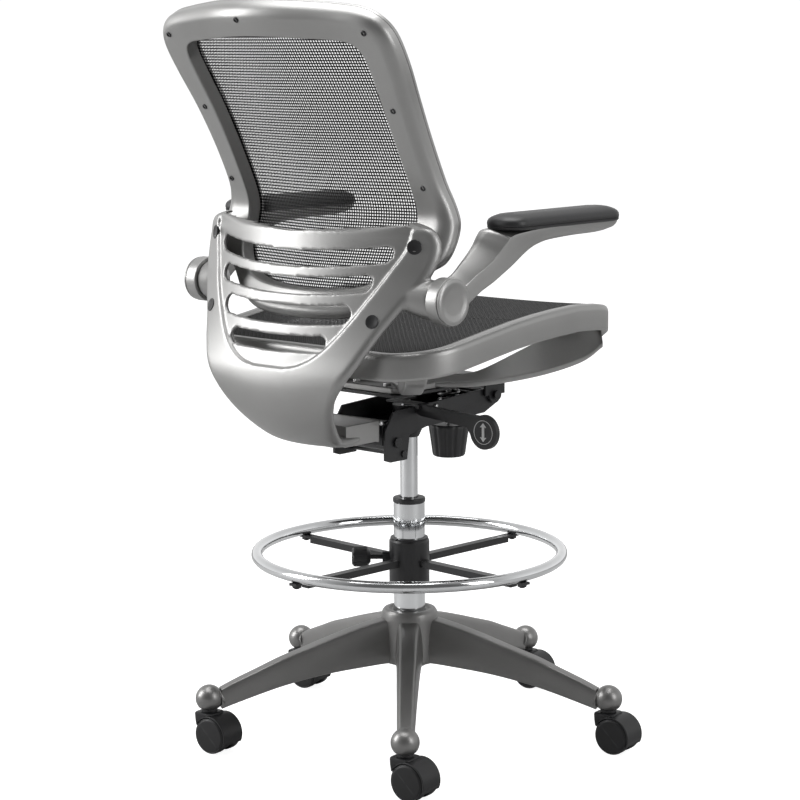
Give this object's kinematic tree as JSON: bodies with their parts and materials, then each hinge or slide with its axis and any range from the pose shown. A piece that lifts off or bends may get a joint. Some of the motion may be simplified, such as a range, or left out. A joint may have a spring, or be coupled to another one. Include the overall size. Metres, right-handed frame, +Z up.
{
  "type": "drafting chair",
  "caption": "Tall swivel work chair with mesh seat and back, flip-up arms, gas lift, foot ring and a star base on twin-wheel casters.",
  "frame": {"origin": "on the floor on the column's axis", "axes": "+Z up along the column; the sitter faces -Y; the sitter's left side is towards +X"},
  "size_m": [0.6991, 0.7241, 1.1645],
  "materials": {
    "silver_paint": "satin metallic",
    "base_paint": "satin metallic, darker",
    "chrome": "polished",
    "zinc_steel": "bright plated",
    "black_plastic": "fine texture",
    "black_steel": "semi-gloss powder coat",
    "back_fabric": "open woven mesh",
    "seat_fabric": "dense woven mesh",
    "arm_foam": "soft moulded skin",
    "caster_plastic": "satin",
    "caster_tread": "satin"
  },
  "bodies": {
    "base": {"star_base": "base_paint", "column_tube": "chrome", "column_bush": "black_plastic", "thrust_bearing": "zinc_steel", "caster_stems": "zinc_steel"},
    "gas_rod": {"piston_rod": "chrome"},
    "mechanism": {"gas_cylinder": "chrome", "cylinder_gland": "black_plastic", "mechanism_housing": "black_steel", "mechanism_axles": "zinc_steel", "tilt_spring": "zinc_steel"},
    "tension_control": {"tension_knob": "black_plastic", "tension_bolt": "zinc_steel"},
    "height_control": {"height_lever": "black_plastic"},
    "release_valve": {"release_pin": "zinc_steel"},
    "tilt_lock": {"tilt_lock_lever": "black_plastic"},
    "back": {"back_bracket": "black_steel", "yoke_bowl": "silver_paint", "yoke": "silver_paint", "yoke_bolts": "black_plastic", "back_shell": "silver_paint", "back_trim": "silver_paint", "back_mesh": "back_fabric", "frame_screws": "black_plastic", "arm_pivot_pins": "zinc_steel", "arm_caps": "silver_paint"},
    "seat": {"seat_plate": "black_steel", "seat_cross_frame": "silver_paint", "seat_rim": "silver_paint", "seat_mesh": "seat_fabric", "seat_bolts": "zinc_steel"},
    "left_arm": {"arm_left": "silver_paint", "arm_pad_left": "arm_foam"},
    "right_arm": {"arm_right": "silver_paint", "arm_pad_right": "arm_foam"},
    "ring_slider": {"ring_bush": "black_plastic"},
    "foot_ring": {"ring_hub": "black_steel", "ring_tube": "chrome", "ring_nuts": "black_plastic"},
    "ring_clamp": {"clamp_knob": "black_plastic"},
    "caster_1": {"caster_hood_1": "caster_plastic", "caster_axle_1": "zinc_steel"},
    "wheel_left_1": {"caster_wheel_left_1": "caster_tread"},
    "wheel_right_1": {"caster_wheel_right_1": "caster_tread"},
    "caster_2": {"caster_hood_2": "caster_plastic", "caster_axle_2": "zinc_steel"},
    "wheel_left_2": {"caster_wheel_left_2": "caster_tread"},
    "wheel_right_2": {"caster_wheel_right_2": "caster_tread"},
    "caster_3": {"caster_hood_3": "caster_plastic", "caster_axle_3": "zinc_steel"},
    "wheel_left_3": {"caster_wheel_left_3": "caster_tread"},
    "wheel_right_3": {"caster_wheel_right_3": "caster_tread"},
    "caster_4": {"caster_hood_4": "caster_plastic", "caster_axle_4": "zinc_steel"},
    "wheel_left_4": {"caster_wheel_left_4": "caster_tread"},
    "wheel_right_4": {"caster_wheel_right_4": "caster_tread"},
    "caster_5": {"caster_hood_5": "caster_plastic", "caster_axle_5": "zinc_steel"},
    "wheel_left_5": {"caster_wheel_left_5": "caster_tread"},
    "wheel_right_5": {"caster_wheel_right_5": "caster_tread"}
  },
  "joints": [
    {"name": "caster_swivel_1", "type": "hinge", "parent": "base", "child": "caster_1", "pos_m": [-0.21519, 0.25018, 0.05], "axis": [0, 0, 1], "continuous": true},
    {"name": "wheel_left_roll_1", "type": "hinge", "parent": "caster_1", "child": "wheel_left_1", "pos_m": [-0.2321, 0.24841, 0.029], "axis": [0.1045, -0.9945, 0], "continuous": true},
    {"name": "wheel_right_roll_1", "type": "hinge", "parent": "caster_1", "child": "wheel_right_1", "pos_m": [-0.2321, 0.24841, 0.029], "axis": [0.1045, -0.9945, 0], "continuous": true},
    {"name": "caster_swivel_2", "type": "hinge", "parent": "base", "child": "caster_2", "pos_m": [-0.30444, -0.12735, 0.05], "axis": [0, 0, 1], "continuous": true},
    {"name": "wheel_left_roll_2", "type": "hinge", "parent": "caster_2", "child": "wheel_left_2", "pos_m": [-0.32134, -0.12913, 0.029], "axis": [0.1045, -0.9945, 0], "continuous": true},
    {"name": "wheel_right_roll_2", "type": "hinge", "parent": "caster_2", "child": "wheel_right_2", "pos_m": [-0.32134, -0.12913, 0.029], "axis": [0.1045, -0.9945, 0], "continuous": true},
    {"name": "caster_swivel_3", "type": "hinge", "parent": "base", "child": "caster_3", "pos_m": [0.02704, -0.32889, 0.05], "axis": [0, 0, 1], "continuous": true},
    {"name": "wheel_left_roll_3", "type": "hinge", "parent": "caster_3", "child": "wheel_left_3", "pos_m": [0.01013, -0.33067, 0.029], "axis": [0.1045, -0.9945, 0], "continuous": true},
    {"name": "wheel_right_roll_3", "type": "hinge", "parent": "caster_3", "child": "wheel_right_3", "pos_m": [0.01013, -0.33067, 0.029], "axis": [0.1045, -0.9945, 0], "continuous": true},
    {"name": "caster_swivel_4", "type": "hinge", "parent": "base", "child": "caster_4", "pos_m": [0.32115, -0.07592, 0.05], "axis": [0, 0, 1], "continuous": true},
    {"name": "wheel_left_roll_4", "type": "hinge", "parent": "caster_4", "child": "wheel_left_4", "pos_m": [0.30424, -0.07769, 0.029], "axis": [0.1045, -0.9945, 0], "continuous": true},
    {"name": "wheel_right_roll_4", "type": "hinge", "parent": "caster_4", "child": "wheel_right_4", "pos_m": [0.30424, -0.07769, 0.029], "axis": [0.1045, -0.9945, 0], "continuous": true},
    {"name": "caster_swivel_5", "type": "hinge", "parent": "base", "child": "caster_5", "pos_m": [0.17144, 0.28197, 0.05], "axis": [0, 0, 1], "continuous": true},
    {"name": "wheel_left_roll_5", "type": "hinge", "parent": "caster_5", "child": "wheel_left_5", "pos_m": [0.15453, 0.28019, 0.029], "axis": [0.1045, -0.9945, 0], "continuous": true},
    {"name": "wheel_right_roll_5", "type": "hinge", "parent": "caster_5", "child": "wheel_right_5", "pos_m": [0.15453, 0.28019, 0.029], "axis": [0.1045, -0.9945, 0], "continuous": true},
    {"name": "seat_swivel", "type": "hinge", "parent": "base", "child": "gas_rod", "pos_m": [0, 0, 0.12], "axis": [0, 0, 1], "continuous": true},
    {"name": "seat_height", "type": "slide", "parent": "gas_rod", "child": "mechanism", "axis": [0, 0, 1], "range_m": [-0.09, 0.11]},
    {"name": "tension_turn", "type": "hinge", "parent": "mechanism", "child": "tension_control", "pos_m": [0, -0.097, 0.464], "axis": [0, 0, 1], "continuous": true},
    {"name": "height_lever_lift", "type": "hinge", "parent": "mechanism", "child": "height_control", "pos_m": [-0.062, 0.037, 0.543], "axis": [0, 1, 0], "range_deg": [0, 4.5], "stiffness_Nm_per_rad": 8, "springref_deg": -5.73},
    {"name": "release_pin_push", "type": "slide", "parent": "mechanism", "child": "release_valve", "axis": [0, 0, -1], "range_m": [0, 0.005]},
    {"name": "tilt_lock_turn", "type": "hinge", "parent": "mechanism", "child": "tilt_lock", "pos_m": [0, 0.075, 0.472], "axis": [1, 0, 0], "range_deg": [0, 35]},
    {"name": "back_recline", "type": "hinge", "parent": "mechanism", "child": "back", "pos_m": [0, 0.09, 0.492], "axis": [-1, 0, 0], "range_deg": [0, 16], "stiffness_Nm_per_rad": 90, "springref_deg": -20.05},
    {"name": "seat_tilt", "type": "hinge", "parent": "mechanism", "child": "seat", "pos_m": [0, -0.14, 0.54], "axis": [-1, 0, 0], "range_deg": [0, 5]},
    {"name": "arm_left_flip", "type": "hinge", "parent": "back", "child": "left_arm", "pos_m": [0.25, 0.197, 0.734], "axis": [-1, 0, 0], "range_deg": [0, 90]},
    {"name": "arm_right_flip", "type": "hinge", "parent": "back", "child": "right_arm", "pos_m": [-0.25, 0.197, 0.734], "axis": [-1, 0, 0], "range_deg": [0, 90]},
    {"name": "ring_height", "type": "slide", "parent": "base", "child": "ring_slider", "axis": [0, 0, 1], "range_m": [-0.035, 0.055]},
    {"name": "ring_turn", "type": "hinge", "parent": "ring_slider", "child": "foot_ring", "pos_m": [0, 0, 0.28], "axis": [0, 0, 1], "continuous": true},
    {"name": "clamp_turn", "type": "hinge", "parent": "foot_ring", "child": "ring_clamp", "pos_m": [0.05945, 0.05353, 0.288], "axis": [0.7431, 0.6691, 0], "continuous": true}
  ],
  "couplings": [
    {"joint": "seat_tilt", "follows": "back_recline", "ratio": 0.3},
    {"joint": "release_pin_push", "follows": "height_lever_lift", "m_per_rad": 0.062}
  ]
}
